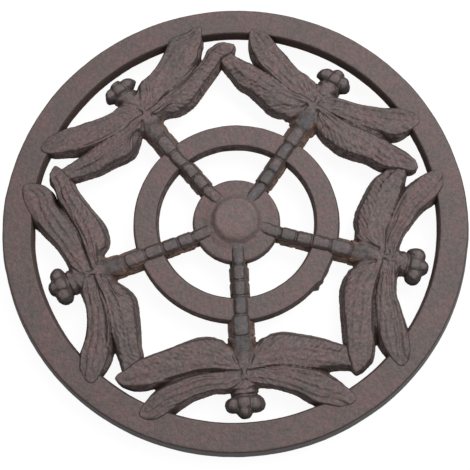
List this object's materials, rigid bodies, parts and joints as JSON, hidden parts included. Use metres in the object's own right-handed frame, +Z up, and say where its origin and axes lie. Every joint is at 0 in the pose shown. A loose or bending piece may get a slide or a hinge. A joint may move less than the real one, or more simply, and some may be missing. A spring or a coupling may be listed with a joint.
{
  "type": "trivet",
  "caption": "Round openwork iron trivet: dragonflies join a broad rim, an inner ring and a hub, on short legs with rubber caps.",
  "frame": {"origin": "on the table, under the middle of the hub, at the underside of the rubber caps", "axes": "+Z up through the hub, -Y towards the dragonfly that is nearest in the picture"},
  "size_m": [0.2, 0.2, 0.0158],
  "materials": {
    "cast_iron": "matte sand-cast iron with a brown-grey baked coat, a little paler where it is rubbed",
    "cap_rubber": "matte black rubber"
  },
  "bodies": {
    "root": {"outer_rim": "cast_iron", "inner_ring": "cast_iron", "hub": "cast_iron", "dragonfly_1": "cast_iron", "dragonfly_2": "cast_iron", "dragonfly_3": "cast_iron", "dragonfly_4": "cast_iron", "dragonfly_5": "cast_iron", "leg_1": "cast_iron", "leg_2": "cast_iron", "leg_3": "cast_iron", "leg_4": "cast_iron", "leg_5": "cast_iron", "foot_cap_1": "cap_rubber", "foot_cap_2": "cap_rubber", "foot_cap_3": "cap_rubber", "foot_cap_4": "cap_rubber", "foot_cap_5": "cap_rubber"}
  },
  "joints": []
}
